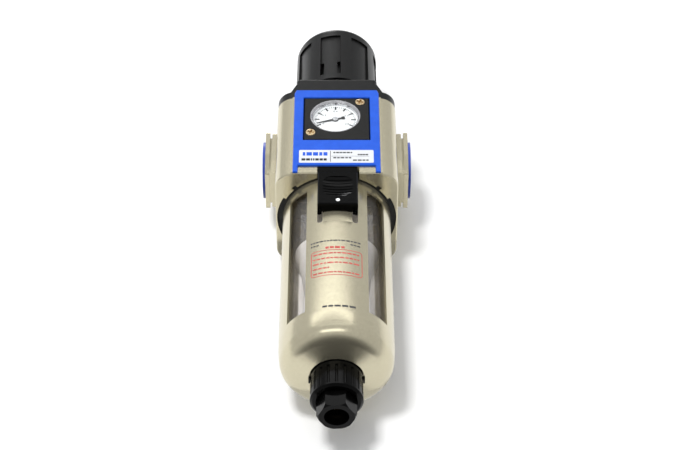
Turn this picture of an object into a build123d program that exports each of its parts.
"""Filter regulator with a built-in gauge, in millimetres.

x runs from the inlet to the outlet, y runs to the back and z runs up, from the drain to the knob.
The origin is the centre of the drain nozzle's mouth.
"""

import os
from math import cos, radians, sin

from build123d import *

# Ports and body
PORT_Z = 182.5
PORT_TO_PORT = 80.0
PORT_THREAD_R = 9.3
PORT_THREAD_DEPTH = 15.0
FLANGE_HALF = 15.4
FLANGE_THICK = 2.4
NECK_END = 36.4
NECK_HALF = 15.0
GROOVE_HALF = (11.2, 14.8)
BEVEL = ((-15.4, -4.0), (-10.0, -15.4))
NECK_BEVEL = ((-15.0, -9.0), (-11.5, -15.0))
PORT_RING_R = 15.8
PORT_RING_BORE = 10.6
PORT_RING_THICK = 1.4
BODY_HALF_W = 33.4
BODY_HALF_D = 33.0
BODY_FRONT = -32.2
BODY_CORNER_R = 9.8
LAND_HALF_W = 24.8
BODY_BOTTOM = 142.5
BODY_TOP = 207.5
MOUTH_R = 31.1
MOUTH_WIDE_R = 32.7
MOUTH_WIDE_ANGLES = (62.5, 117.5)
MOUTH_NOTCH_R = 32.8
MOUTH_RING_Z = (143.4, 147.0)
BAYONET_R = 31.3
BAYONET_Z = (149.5, 156.0)
BAYONET_LUGS = (45, 225)
BOWL_SEAT_R = 25.6
BOWL_SEAT_TOP = 163.0

# Air passages
OUTLET_CHAMBER_R = 12.0
VALVE_BORE_R = 11.0
SPIGOT_R = 14.0
SPIGOT_BOTTOM = 154.0
SEAT_BOTTOM = 174.0
SEAT_TOP = 178.0
SEAT_R = 9.0
SEAT_HOLE_R = 6.0
DIAPHRAGM_R = 24.5
SENSE_R = 21.0

# Front cover, gauge and label
COVER_HALF_W = 23.7
COVER_FRONT = -34.2
COVER_BOTTOM = 147.9
COVER_TOP = 212.6
COVER_LEG_W = 2.7
GAUGE_Z = 187.4
GAUGE_SIDE = 36.8
GAUGE_BACK = -25.6
GAUGE_FRONT = -33.9
DIAL_R = 13.9
DIAL_X = -0.8
DIAL_Z = 189.8
NEEDLE_REST = 197.0
GAUGE_SCREWS = ((13.1, 202.2), (-14.4, 175.8))
LABEL_X = (-20.4, 20.0)
LABEL_Z = (149.5, 160.0)

# Bonnet, knob and adjusting screw
TOWER_HALF_W = 23.0
TOWER_HALF_D = 31.0
TOWER_TOP = 226.4
FLANGE_TOP = 214.2
SHOULDER_HALF_W = 26.3
SHOULDER_TOP = 221.2
COLLAR_R = 23.2
COLLAR_TOP = 235.5
NECK_R = 20.4
NECK_TOP = 256.0
BONNET_BORE = 18.0
BONNET_ROOF = 250.0
KNOB_R = 24.4
KNOB_TOP_R = 23.9
KNOB_BOTTOM = 236.5
KNOB_TOP = 286.1
GRIPS = 8
GRIP_PHASE = -9.0
GRIP_HALF_ANGLE = 14.5
GRIP_FLOOR_R = 23.0
GRIP_Z = (241.0, 278.0)
SCREW_R = 5.0
THREAD_R = 4.5
RUNNING = 0.05

# Bowl and guard
GUARD_R = 29.5
GUARD_INNER = 28.4
GUARD_TOP = 155.0
GUARD_TURN = 0.4
DOME_HOLE_R = 13.9
WINDOW_ANGLES = (32.9, 58.5)
WINDOW_Z = (47.0, 137.6)
BOWL_R = 25.2
BOWL_INNER = 22.8
BOWL_TOP = 161.0
BAFFLE_TOP = 110.0

# Latch
LATCH_X = (-10.4, 11.0)
LATCH_FRONT = -36.0
LATCH_BOTTOM = 115.0
LATCH_TOP = 147.5
LATCH_NECK = (139.5, 143.5)
DENT_X = (-7.6, 8.2)
DENT_Z = (121.3, 136.7)
DENT_RIBS = 6
LATCH_SLOTS = ((-10.4, -7.7), (8.0, 11.0))
SLOT_Z = (108.8, 141.0)
TONGUE_TOP = 116.4
TONGUE_R = 30.8

# Drain
DRAIN_R = 13.3
DRAIN_COLLAR = (9.3, 27.8)
NOZZLE_FLATS = 17.4
NOZZLE_CORNER_R = NOZZLE_FLATS / 2 / cos(radians(30))
NOZZLE_BORE = 6.2
NOZZLE_BORE_DEPTH = 8.0
NOZZLE_TURN = -4.0
DRAIN_STEM_R = 4.0
DRAIN_TUBE_R = 8.0

BASE = (Align.CENTER, Align.CENTER, Align.MIN)


def disc(r, z0, z1):
    return Pos(0, 0, z0) * Cylinder(r, z1 - z0, align=BASE)


def ring(r_out, r_in, z0, z1):
    return disc(r_out, z0, z1) - disc(r_in, z0, z1)


def block(x, y, z):
    centre = Pos((x[0] + x[1]) / 2, (y[0] + y[1]) / 2, (z[0] + z[1]) / 2)
    return centre * Box(x[1] - x[0], y[1] - y[0], z[1] - z[0])


def rod_x(r, x0, x1, z):
    return Pos(x0, 0, z) * Rot(0, 90, 0) * Cylinder(r, x1 - x0, align=BASE)


def rod_y(r, y0, y1, x, z):
    return Pos(x, y0, z) * Rot(-90, 0, 0) * Cylinder(r, y1 - y0, align=BASE)


def on_circle(r, angle):
    """A point at an angle from the front, positive towards the outlet."""
    return (r * sin(radians(angle)), -r * cos(radians(angle)))


def sector(a0, a1, r, z0, z1):
    middle = (a0 + a1) / 2
    corners = [(0, 0), on_circle(1.5 * r, a0), on_circle(1.5 * r, middle), on_circle(1.5 * r, a1)]
    wedge = Pos(0, 0, z0) * extrude(make_face(Polyline(*corners, close=True)), z1 - z0)
    return wedge & disc(r, z0, z1)


def turned(*points):
    return revolve(Plane.XZ * make_face(Polyline(*points, close=True)), Axis.Z)


def round_rim(shape, z, r):
    """Fillet the circular edges that lie at height z."""
    rims = shape.edges().filter_by(GeomType.CIRCLE)
    return fillet([rim for rim in rims if abs(rim.center().Z - z) < 0.1], r)


def o_ring(middle_r, wire_r, z):
    return Pos(0, 0, z) * Torus(middle_r, wire_r)


def coil_spring(middle_r, wire_r, z0, z1, turns):
    height = z1 - z0 - 2 * wire_r
    path = Pos(0, 0, z0 + wire_r) * Helix(height / turns, height, middle_r)
    section = Plane(path @ 0, z_dir=path % 0) * Circle(wire_r)
    return sweep(section, path=path, is_frenet=True)


def hexagon(across_flats, z0, z1):
    face = RegularPolygon(across_flats / 2, 6, major_radius=False)
    return Pos(0, 0, z0) * extrude(face, z1 - z0)


def save(name, shape):
    export_step(shape, f"parts/{name}.step")


def body_outline(inset):
    """Plan of the body: a square with large round corners."""
    w = BODY_HALF_W - inset
    front = BODY_FRONT + inset
    back = BODY_HALF_D - inset
    face = make_face(Polyline((-w, front), (w, front), (w, back), (-w, back), close=True))
    return fillet(face.vertices(), BODY_CORNER_R - inset)


def bevel_cut(line, x0, x1):
    """What a bevel takes off the lower front corner of a port. line is two (y, z) points, z from the port's axis."""
    (y0, z0), (y1, z1) = line
    corner = Polyline((y0, z0), (y1, z1), (y1, z1 - 1), (y0 - 1, z1 - 1), (y0 - 1, z0), close=True)
    return Pos(x0, 0, PORT_Z) * extrude(Plane.YZ * make_face(corner), x1 - x0)


def port_boss():
    """Neck, groove and flange of the outlet side, with a bevel on the flange's lower front corner."""
    face_x = PORT_TO_PORT / 2
    z = PORT_Z
    neck = block((30, NECK_END), (-NECK_HALF, NECK_HALF), (z - NECK_HALF, z + NECK_HALF))
    neck = fillet(neck.edges().filter_by(Axis.X), 1.2) - bevel_cut(NECK_BEVEL, 30, NECK_END)
    half_y, half_z = GROOVE_HALF
    neck += block((NECK_END - 1, face_x - 1), (-half_y, half_y), (z - half_z, z + half_z))
    half = FLANGE_HALF
    plate = block((face_x - FLANGE_THICK, face_x), (-half, half), (z - half, z + half))
    plate = fillet(plate.edges().filter_by(Axis.X), 1.2)
    return neck + (plate - bevel_cut(BEVEL, face_x - FLANGE_THICK, face_x))


def body_passages():
    inlet = rod_x(6.2, -26, -19, PORT_Z)
    inlet += Pos(-19.6, 0, 0) * disc(5.0, BOWL_SEAT_TOP - 1, PORT_Z + 5)
    outlet = rod_x(6.2, 0, 26, PORT_Z + 3)
    chambers = disc(VALVE_BORE_R, SPIGOT_BOTTOM - 1, SEAT_BOTTOM)
    chambers += disc(SEAT_R, SEAT_BOTTOM - 1, SEAT_TOP + 1)
    chambers += disc(OUTLET_CHAMBER_R, SEAT_TOP, 196)
    chambers += disc(2.6, 195, 201) + disc(4.6, 198.8, 201)
    chambers += disc(SENSE_R, 200, 206.5)
    chambers += disc(DIAPHRAGM_R, 206, BODY_TOP + 1)
    chambers += Pos(8, 0, 0) * disc(1.0, 195, 201)
    return inlet + outlet + chambers


def mouth_opening(z0, z1):
    """The open mouth under the body: round, wider at both sides where the guard's lugs enter."""
    opening = disc(MOUTH_R, z0, z1)
    first, last = MOUTH_WIDE_ANGLES
    opening += sector(first, last, MOUTH_WIDE_R, z0, z1) + sector(-last, -first, MOUTH_WIDE_R, z0, z1)
    for angle in (-45.5, 45.5):
        opening += sector(angle - 2.6, angle + 2.6, MOUTH_NOTCH_R, z0, z1)
    return opening


def body_mouth():
    """The space the bowl and its guard plug into, around the filter spigot."""
    low, high = BAYONET_Z
    mouth = mouth_opening(BODY_BOTTOM - 1, low + 1)
    mouth += disc(BAYONET_R, low, high)
    mouth += disc(BOWL_SEAT_R, high - 1, BOWL_SEAT_TOP)
    mouth -= disc(SPIGOT_R, SPIGOT_BOTTOM, BOWL_SEAT_TOP)
    for middle in BAYONET_LUGS:
        ledge = sector(middle - 16, middle + 16, BAYONET_R + 1, low + 0.5, low + 2.9)
        mouth -= ledge - disc(GUARD_R + 0.2, low, high)
    return mouth


def gauge_pocket():
    half = GAUGE_SIDE / 2 + 0.15
    z = (GAUGE_Z - half, GAUGE_Z + half)
    pocket = block((-half, half), (-BODY_HALF_D - 1, GAUGE_BACK), z)
    pocket += rod_y(3.6, GAUGE_BACK - 1, -21.5, DIAL_X, DIAL_Z)
    pocket += rod_y(1.5, -22, -11, DIAL_X, DIAL_Z)
    for x, screw_z in GAUGE_SCREWS:
        pocket += rod_y(1.5, GAUGE_BACK - 1, -21.0, x, screw_z)
    return pocket


def bonnet_screw_positions():
    return [(sx * 27.3, sy * 22.6) for sx in (-1, 1) for sy in (-1, 1)]


def cover_peg_positions():
    return [(side * 21.4, z) for side in (-1, 1) for z in (160.5, 203.0)]


def make_body():
    shell = Pos(0, 0, BODY_BOTTOM) * extrude(body_outline(0), BODY_TOP - BODY_BOTTOM)
    shell += block((-LAND_HALF_W, LAND_HALF_W), (-BODY_HALF_D, -30), (BODY_BOTTOM, BODY_TOP))
    shell = chamfer(shell.edges().group_by(Axis.Z)[0], 0.6)
    shell += port_boss() + mirror(port_boss(), Plane.YZ)
    shell -= body_mouth()
    shell -= body_passages()
    shell -= gauge_pocket()
    for side in (-1, 1):
        outer = side * PORT_TO_PORT / 2
        inner = side * (PORT_TO_PORT / 2 - PORT_THREAD_DEPTH)
        shell -= rod_x(PORT_THREAD_R, min(inner, outer), max(inner, outer), PORT_Z)
    for x, y in bonnet_screw_positions():
        shell -= Pos(x, y, 0) * disc(2.5, 194.5, BODY_TOP + 1)
    for x, z in cover_peg_positions():
        shell -= rod_y(1.2, -BODY_HALF_D - 1, -30.2, x, z)
    latch_space = (LATCH_X[0] - 0.1, LATCH_X[1] + 1.2)
    shell -= block(latch_space, (-BODY_HALF_D - 1, -26), (BODY_BOTTOM - 1, LATCH_TOP + 0.4))
    save("body", shell)


def make_port_rings():
    for name, side in (("inlet_ring", -1), ("outlet_ring", 1)):
        near = side * PORT_TO_PORT / 2
        far = side * (PORT_TO_PORT / 2 + PORT_RING_THICK)
        x0, x1 = min(near, far), max(near, far)
        save(name, rod_x(PORT_RING_R, x0, x1, PORT_Z) - rod_x(PORT_RING_BORE, x0, x1, PORT_Z))


def make_cover():
    x = (-COVER_HALF_W, COVER_HALF_W)
    y = (COVER_FRONT, -BODY_HALF_D)
    plate = block(x, y, (BODY_BOTTOM, COVER_TOP))
    inner = COVER_HALF_W - COVER_LEG_W
    plate -= block((-inner, inner), y, (BODY_BOTTOM - 1, COVER_BOTTOM))
    half = GAUGE_SIDE / 2 + 0.1
    plate -= block((-half, half), y, (GAUGE_Z - half, GAUGE_Z + half))
    for side in (-1, 1):
        corner = Polyline((side * COVER_HALF_W, COVER_TOP - 3), (side * (COVER_HALF_W - 1), COVER_TOP),
                          (side * (COVER_HALF_W + 1), COVER_TOP + 1), close=True)
        plate -= Pos(0, COVER_FRONT - 1, 0) * extrude(Plane.XZ * make_face(corner), -4)
    plate = chamfer(plate.faces().sort_by(Axis.Y)[0].edges(), 0.35)
    for peg_x, z in cover_peg_positions():
        plate += rod_y(1.2, -BODY_HALF_D, -30.3, peg_x, z)
    save("front_cover", plate)
    label = block(LABEL_X, (COVER_FRONT - 0.15, COVER_FRONT), LABEL_Z)
    save("label_strip", fillet(label.edges().filter_by(Axis.Y), 0.8))


def dial_rod(r, y0, y1):
    return rod_y(r, y0, y1, DIAL_X, DIAL_Z)


def at_dial(y, shape):
    """Stand a shape drawn in the xy plane upright at the dial's centre, facing forward."""
    return Pos(DIAL_X, y, DIAL_Z) * Rot(90, 0, 0) * shape


def make_gauge():
    half = GAUGE_SIDE / 2
    case = block((-half, half), (GAUGE_FRONT, GAUGE_BACK), (GAUGE_Z - half, GAUGE_Z + half))
    case = chamfer(case.faces().sort_by(Axis.Y)[0].edges(), 0.7)
    case -= dial_rod(12.9, GAUGE_FRONT, -26.8) + dial_rod(DIAL_R, GAUGE_FRONT, -30.0)
    case -= dial_rod(2.6, -27, GAUGE_BACK)
    for x, z in GAUGE_SCREWS:
        case -= rod_y(1.6, GAUGE_FRONT, GAUGE_BACK, x, z) + rod_y(3.0, GAUGE_FRONT, -32.6, x, z)
    save("gauge_case", case)

    bezel = dial_rod(DIAL_R, -33.9, -30.6) - dial_rod(12.5, -33.9, -30.6)
    save("gauge_ring", chamfer(bezel.faces().sort_by(Axis.Y)[0].edges().sort_by(SortBy.LENGTH)[0], 0.8))
    save("gauge_dial", dial_rod(DIAL_R, -30.6, -30.0) - dial_rod(1.1, -30.6, -30.0))
    save("gauge_lens", dial_rod(12.5, -33.1, -32.3))

    socket = dial_rod(2.6, -27.4, GAUGE_BACK) + dial_rod(3.5, GAUGE_BACK, -22.9)
    socket += block((DIAL_X - 3, DIAL_X + 3), (-28.6, -26.8), (DIAL_Z - 3, DIAL_Z + 3))
    socket -= dial_rod(0.8, -27.6, -22) + dial_rod(0.75, -29, -28)
    save("gauge_socket", socket)
    save("gauge_o_ring", at_dial(-22.2, Torus(2.5, 0.65)))

    tube = ring(11.6, 9.8, 0, 1.4) - sector(-35, 35, 14, -1, 2)
    tube += block((-1, 1), (3.1, 10.4), (0, 1.4))
    save("bourdon_tube", at_dial(-27.1, tube))

    save("gauge_screws", Compound(children=[gauge_screw(x, z) for x, z in GAUGE_SCREWS]))


def gauge_screw(x, z):
    screw = rod_y(1.5, -32.6, -21.2, x, z)
    screw += fillet(rod_y(2.8, -34.1, -32.6, x, z).edges().sort_by(Axis.Y)[0], 0.6)
    for turn in (20, 110):
        screw -= Pos(x, -33.8, z) * Rot(0, turn, 0) * Box(3.9, 1.6, 1.0)
    return screw


def make_needle():
    """Needle resting just above the first mark, low on the left, with its hub and arbor."""
    pointer = Polyline((1.2, 0.6), (1.2, -0.6), (10.4, -0.22), (11.0, 0), (10.4, 0.22), close=True)
    tail = Polyline((-1.2, 0.5), (-3.4, 0.5), (-4.2, 1.0), (-5.6, 1.0), (-5.6, -1.0), (-4.2, -1.0),
                    (-3.4, -0.5), (-1.2, -0.5), close=True)
    plate = extrude(make_face(pointer), 0.3) + extrude(make_face(tail), 0.3) + disc(1.7, 0, 0.3)
    save("gauge_needle", at_dial(-31.0, Rot(0, 0, NEEDLE_REST) * plate))
    save("needle_hub", at_dial(-31.3, disc(1.5, 0, 0.5) + disc(0.6, 0.4, 0.8)))
    save("gauge_arbor", dial_rod(0.7, -31.0, -28.1))


def make_bonnet():
    flange = Pos(0, 0, BODY_TOP) * extrude(body_outline(0.2), FLANGE_TOP - BODY_TOP)
    flange = chamfer(flange.edges().group_by(Axis.Z)[-1], 0.8)
    low, high = FLANGE_TOP - 0.5, SHOULDER_TOP
    profile = Polyline((-SHOULDER_HALF_W, low), (SHOULDER_HALF_W, low), (TOWER_HALF_W, high), (-TOWER_HALF_W, high),
                       close=True)
    shoulder = Pos(0, TOWER_HALF_D, 0) * extrude(Plane.XZ * make_face(profile), 2 * TOWER_HALF_D)
    tower = block((-TOWER_HALF_W, TOWER_HALF_W), (-TOWER_HALF_D, TOWER_HALF_D), (BODY_TOP, TOWER_TOP))
    tower = fillet(tower.edges().filter_by(Axis.Z), 2.5)
    tower = fillet(tower.edges().group_by(Axis.Z)[-1], 1.0)
    bonnet = flange + shoulder + tower
    bonnet += disc(COLLAR_R, TOWER_TOP - 4, COLLAR_TOP) + disc(NECK_R, COLLAR_TOP - 1, NECK_TOP)
    bonnet -= disc(SENSE_R, BODY_TOP - 1, BODY_TOP + 3)
    bonnet -= disc(BONNET_BORE, BODY_TOP + 2, BONNET_ROOF)
    bonnet -= disc(SCREW_R + RUNNING, BONNET_ROOF - 1, NECK_TOP + 1)
    bonnet -= block((-19.4, 19.4), (-2.6, 2.6), (221.5, 238.0)) & disc(19.4, 221.5, 238.0)
    for x, y in bonnet_screw_positions():
        bonnet -= Pos(x, y, 0) * (disc(2.75, BODY_TOP - 1, BODY_TOP + 4) + disc(4.5, BODY_TOP + 3, SHOULDER_TOP))
    save("bonnet", bonnet)

    screws = []
    for x, y in bonnet_screw_positions():
        screw = disc(2.5, 194.6, BODY_TOP + 3.1) + disc(3.9, BODY_TOP + 3, BODY_TOP + 8)
        screws.append(Pos(x, y, 0) * (screw - hexagon(4.0, BODY_TOP + 5.5, BODY_TOP + 9)))
    save("bonnet_screws", Compound(children=screws))


def grip_recess(angle):
    low, high = GRIP_Z
    panel = sector(angle - GRIP_HALF_ANGLE, angle + GRIP_HALF_ANGLE, 26, low, high)
    return panel - disc(GRIP_FLOOR_R, low - 1, high + 1)


def snap_slots(angle):
    """Two slots through the wall in the lower corners of a grip recess."""
    slots = Part()
    for side in (-1, 1):
        middle = angle + side * (GRIP_HALF_ANGLE - 2.4)
        slots += sector(middle - 2.4, middle + 2.4, 26, GRIP_Z[0] + 1, GRIP_Z[0] + 12.5)
    return slots - disc(20.0, GRIP_Z[0], GRIP_Z[0] + 14)


def make_knob():
    height = KNOB_TOP - KNOB_BOTTOM
    knob = Pos(0, 0, KNOB_BOTTOM) * Cone(KNOB_R, KNOB_TOP_R, height, align=BASE)
    knob = fillet(knob.edges().group_by(Axis.Z)[-1], 4.0)
    knob -= disc(21.4, KNOB_BOTTOM - 1, 280.5)
    knob += disc(9.0, 259.5, 282.0)
    knob -= hexagon(8.0 + 2 * RUNNING, 259.0, 276.0)
    for n in range(GRIPS):
        knob -= grip_recess(GRIP_PHASE + n * 360 / GRIPS)
    for n in range(0, GRIPS, 2):
        knob -= snap_slots(GRIP_PHASE + n * 360 / GRIPS)
    save("knob", knob)


def make_adjusting_screw():
    screw = disc(THREAD_R, 219.0, 247.0) + disc(9.0, 246.4, 249.7)
    screw += disc(SCREW_R, 249.0, 258.6) + hexagon(8.0, 258.0, 270.0)
    save("adjusting_screw", screw)
    save("retaining_ring", ring(8.0, SCREW_R, NECK_TOP + 0.4, NECK_TOP + 1.8))

    seat = ring(16.0, THREAD_R + RUNNING, 231.0, 234.0) + ring(8.0, THREAD_R + RUNNING, 234.0, 237.0)
    lug = block((-19.1, 19.1), (-2.3, 2.3), (231.0, 234.0)) & disc(19.1, 231.0, 234.0)
    seat += lug - disc(10.0, 230.0, 235.0)
    save("spring_seat", seat)
    save("main_spring", coil_spring(12.0, 1.5, 208.0, 231.0, 3.6))


def make_diaphragm():
    rubber = turned((DIAPHRAGM_R, 206), (DIAPHRAGM_R, BODY_TOP), (20.0, BODY_TOP), (17.0, 205.5),
                    (5.0, 205.5), (5.0, 204.0), (17.6, 204.0), (20.6, 206))
    save("diaphragm", rubber)
    top = disc(14.5, 205.5, 208.0) + ring(10.0, 8.4, 208.0, 209.6)
    save("upper_plate", top)
    low = disc(12.0, 202.4, 204.0) + disc(5.0, 204.0, 205.5) + disc(4.0, 200.6, 202.4)
    save("lower_plate", low)


def make_valve():
    save("valve_seat", ring(SEAT_R, SEAT_HOLE_R, SEAT_BOTTOM, SEAT_TOP) + ring(7.3, SEAT_HOLE_R, 173, 174.1))
    poppet = disc(3.5, 158.5, 169.0) + disc(8.5, 168.5, 171.0) + disc(2.0, 170.5, 200.6)
    save("valve_poppet", poppet)
    save("valve_pad", ring(8.5, 2.0, 171.0, 173.0))

    guide = ring(VALVE_BORE_R, 9.4, 157.0, 161.0) + disc(6.5, 150.5, 163.0)
    for angle in (0, 120, 240):
        spoke = block((-1.6, 1.6), (5.5, 10.0), (157.5, 160.5))
        guide += Rot(0, 0, angle) * spoke
    guide -= disc(3.5 + RUNNING, 157.0, 164.0)
    guide -= disc(3.0, 150.0, 155.0)
    guide -= ring(VALVE_BORE_R + 1, 10.1, 158.2, 159.8)
    save("valve_guide", guide)
    save("guide_o_ring", o_ring(10.55, 0.45, 159.0))
    save("valve_spring", coil_spring(5.2, 0.4, 163.0, 168.5, 4))


def make_filter():
    deflector = ring(16.2, SPIGOT_R, 154.0, 158.0) + ring(16.2, 10.5, 152.0, 154.0)
    for n in range(10):
        vane = Pos(19.0, 0, 155.0) * Rot(35, 0, 0) * Box(7.0, 0.9, 5.4)
        deflector += Rot(0, 0, 36 * n) * vane
    deflector -= disc(SPIGOT_R, 154.0, 160.0)
    save("deflector", deflector)
    save("filter_element", ring(15.0, 11.8, BAFFLE_TOP, 152.0))

    shade = turned((3.9, 0), (15.5, 0), (22.2, -2.8), (22.2, -4.8), (19.6, -10.2), (16.8, -28), (15.6, -28),
                   (18.4, -10.4), (20.9, -5.2), (20.9, -4), (15.2, -1.8), (3.9, -2))
    post = disc(4.0, BAFFLE_TOP - 10, 150.5) + disc(3.0, 150.0, 154.9)
    save("baffle", Pos(0, 0, BAFFLE_TOP) * shade + post)


def make_bowl():
    outer = turned((0, BOWL_TOP), (BOWL_R, BOWL_TOP), (BOWL_R, 36.6), (8, 34), (0, 34))
    outer = round_rim(outer, 36.6, 7.0)
    inner = turned((0, BOWL_TOP + 1), (BOWL_INNER, BOWL_TOP + 1), (BOWL_INNER, 39.2), (12, 36.6), (0, 36.6))
    inner = round_rim(inner, 39.2, 5.0)
    bowl = outer - inner - disc(DRAIN_TUBE_R, 30, 40)
    bowl += ring(27.0, BOWL_R - 1, 149.0, 151.6)
    bowl -= ring(BOWL_R + 1, 24.2, 157.4, 159.6)
    save("bowl", bowl)
    save("bowl_o_ring", o_ring(24.9, 0.7, 158.5))


def make_guard():
    outer = turned((0, GUARD_TOP), (GUARD_R, GUARD_TOP), (GUARD_R, 41.0), (28.3, 29.5), (DOME_HOLE_R, 25.5), (0, 25.5))
    outer = round_rim(round_rim(outer, 29.5, 9.0), 41.0, 60.0)
    inner = turned((0, GUARD_TOP + 1), (GUARD_INNER, GUARD_TOP + 1), (GUARD_INNER, 41.0), (27.2, 31.2),
                   (DOME_HOLE_R, 27.4), (0, 27.4))
    inner = round_rim(inner, 31.2, 7.5)
    guard = outer - inner - disc(DOME_HOLE_R, 20, 30)
    guard += ring(GUARD_INNER + 0.5, 25.6, 146.6, 148.9)
    for middle in BAYONET_LUGS:
        lug = sector(middle - 14, middle + 14, 31.0, 152.7, GUARD_TOP)
        guard += lug - disc(28.0, 152, GUARD_TOP + 1)
    first, last = WINDOW_ANGLES
    for a0, a1 in ((first, last), (-last, -first), (180 - last, 180 - first), (180 + first, 180 + last)):
        guard -= sector(a0, a1, 30, *WINDOW_Z) - disc(26, *WINDOW_Z)
    for x in LATCH_SLOTS:
        r = (x[1] - x[0]) / 2
        slot = block(x, (-31, -20), (SLOT_Z[0] + r, SLOT_Z[1] - r))
        for z in (SLOT_Z[0] + r, SLOT_Z[1] - r):
            slot += rod_y(r, -31, -20, sum(x) / 2, z)
        guard -= slot
    guard += block((-1.2, 2.2), (-32.6, -28.6), (119.2, 121.6))
    inside = GUARD_INNER + 0.2
    tongue = turned((inside, SLOT_Z[0]), (GUARD_R, SLOT_Z[0]), (TONGUE_R, TONGUE_TOP), (inside, TONGUE_TOP))
    guard += tongue & block((LATCH_SLOTS[0][1], LATCH_SLOTS[1][0]), (-34, -20), (SLOT_Z[0], TONGUE_TOP))
    save("bowl_guard", Rot(0, 0, GUARD_TURN) * guard)


def make_mouth_ring():
    """Black seal ring that closes the gap between the guard and the body's mouth."""
    low, high = MOUTH_RING_Z
    seal = mouth_opening(low, high) - disc(GUARD_R + 0.1, low - 1, high + 1)
    seal -= block((LATCH_X[0] - 0.6, LATCH_X[1] + 1.4), (-34, -20), (low - 1, high + 1))
    save("mouth_ring", seal)


def latch_shell():
    """Side profile of the latch: full depth below, a thinner neck above that enters the body."""
    profile = Polyline((LATCH_FRONT, LATCH_BOTTOM + 0.6), (LATCH_FRONT + 0.6, LATCH_BOTTOM), (-20, LATCH_BOTTOM),
                       (-20, LATCH_TOP), (-BODY_HALF_D, LATCH_TOP), (-BODY_HALF_D, LATCH_NECK[1]),
                       (LATCH_FRONT, LATCH_NECK[0]), close=True)
    width = LATCH_X[1] - LATCH_X[0]
    slab = Pos(LATCH_X[0], 0, 0) * extrude(Plane.YZ * make_face(profile), width)
    slab = chamfer(slab.edges().filter_by(Axis.Z).group_by(Axis.Y)[0], 0.7)
    return slab - disc(GUARD_R + 0.35, 100, 150)


def finger_dent():
    """Shallow dent with a curved floor and low ribs across it."""
    x, z = sum(DENT_X) / 2, sum(DENT_Z) / 2
    dent = block(DENT_X, (LATCH_FRONT - 1, LATCH_FRONT + 3), DENT_Z)
    dent = fillet(dent.edges().filter_by(Axis.Y), 5.0)
    dent &= Pos(x, LATCH_FRONT - 3.4, z) * scale(Sphere(1), by=(14.0, 5.0, 13.0))
    floor = dent - Pos(0, -0.3, 0) * dent
    pitch = (DENT_Z[1] - DENT_Z[0]) / (DENT_RIBS + 1)
    for n in range(1, DENT_RIBS + 1):
        rib_z = DENT_Z[0] + n * pitch
        dent -= floor & block(DENT_X, (LATCH_FRONT - 1, LATCH_FRONT + 3), (rib_z - 0.4, rib_z + 0.4))
    return dent


def make_latch():
    latch = latch_shell() - finger_dent()
    latch -= block((-1.7, 2.7), (-33.0, -28), (118.2, 137.6))
    latch -= disc(TONGUE_R + 0.4, 110, 122.2) & block((-8.1, 8.4), (-34, -20), (110, 122.2))
    latch -= rod_y(1.1, LATCH_FRONT - 1, -34.6, 0.4, 117.9)
    for x0, x1, hook in ((-10.0, -8.1, -11.2), (8.4, 10.6, 11.6)):
        leg = block((x0, x1), (-30.5, -22), (119, 136)) - disc(26.0, 118, 137)
        tip = block((min(hook, x0), max(hook, x1)), (-27.5, -20), (121, 134)) & ring(27.0, 26.0, 121, 134)
        latch += leg + tip
    turn = Rot(0, 0, GUARD_TURN)
    save("latch", turn * latch)
    save("latch_dot", turn * rod_y(1.1, LATCH_FRONT - 0.1, -34.6, 0.4, 117.9))
    save("latch_spring", turn * Pos(0.5, -31.2, 0) * coil_spring(0.95, 0.2, 121.6, 137.6, 14))


def make_drain():
    housing = disc(DRAIN_TUBE_R, 14.8, 48.0) + disc(11.5, 37.8, 41.0)
    housing -= disc(DRAIN_STEM_R + RUNNING, 13.0, 31.0)
    housing -= disc(6.0, 30.0, 45.0)
    housing -= disc(1.6, 44.0, 49.0)
    save("drain_housing", housing)
    save("drain_gasket", ring(11.2, DRAIN_TUBE_R, 36.8, 37.8))
    nut = hexagon(21.0, 28.9, 33.9) - disc(DRAIN_TUBE_R, 28, 35)
    save("drain_nut", nut)
    save("drain_seal", ring(5.9, 4.4, 30.0, 31.4))

    low, high = DRAIN_COLLAR
    collar = disc(DRAIN_R, low, high)
    collar = chamfer(collar.edges().group_by(Axis.Z)[0], 1.2)
    collar -= disc(NOZZLE_CORNER_R + 0.35, low - 1, 14.4)
    collar -= disc(DRAIN_TUBE_R + RUNNING, 14.0, high + 1)
    for n in range(20):
        groove = Pos(*on_circle(DRAIN_R + 0.15, 18 * n), 0) * disc(0.75, low + 2.0, 23.0)
        collar -= groove
    collar += block((-14.1, 14.1), (-1.6, 1.6), (23.2, 25.2)) - disc(12.5, 23, 26)
    save("drain_collar", collar)

    rounded = turned((0, 0), (NOZZLE_CORNER_R - 1.1, 0), (NOZZLE_CORNER_R, 1.3), (NOZZLE_CORNER_R, 12), (0, 12))
    nozzle = Rot(0, 0, NOZZLE_TURN) * hexagon(NOZZLE_FLATS, 0, 12.0) & rounded
    nozzle -= disc(NOZZLE_BORE, -1, NOZZLE_BORE_DEPTH) + disc(DRAIN_STEM_R, 7, 13)
    save("drain_nozzle", nozzle)
    stem = ring(DRAIN_STEM_R, 2.0, NOZZLE_BORE_DEPTH, 31.4) + disc(5.4, 31.4, 34.0)
    save("drain_stem", stem - rod_x(1.0, -5, 5, 29.8))
    save("drain_spring", coil_spring(4.0, 0.4, 34.0, 45.0, 6))


def main():
    os.makedirs("parts", exist_ok=True)
    make_body()
    make_port_rings()
    make_cover()
    make_gauge()
    make_needle()
    make_bonnet()
    make_knob()
    make_adjusting_screw()
    make_diaphragm()
    make_valve()
    make_filter()
    make_bowl()
    make_guard()
    make_mouth_ring()
    make_latch()
    make_drain()


main()
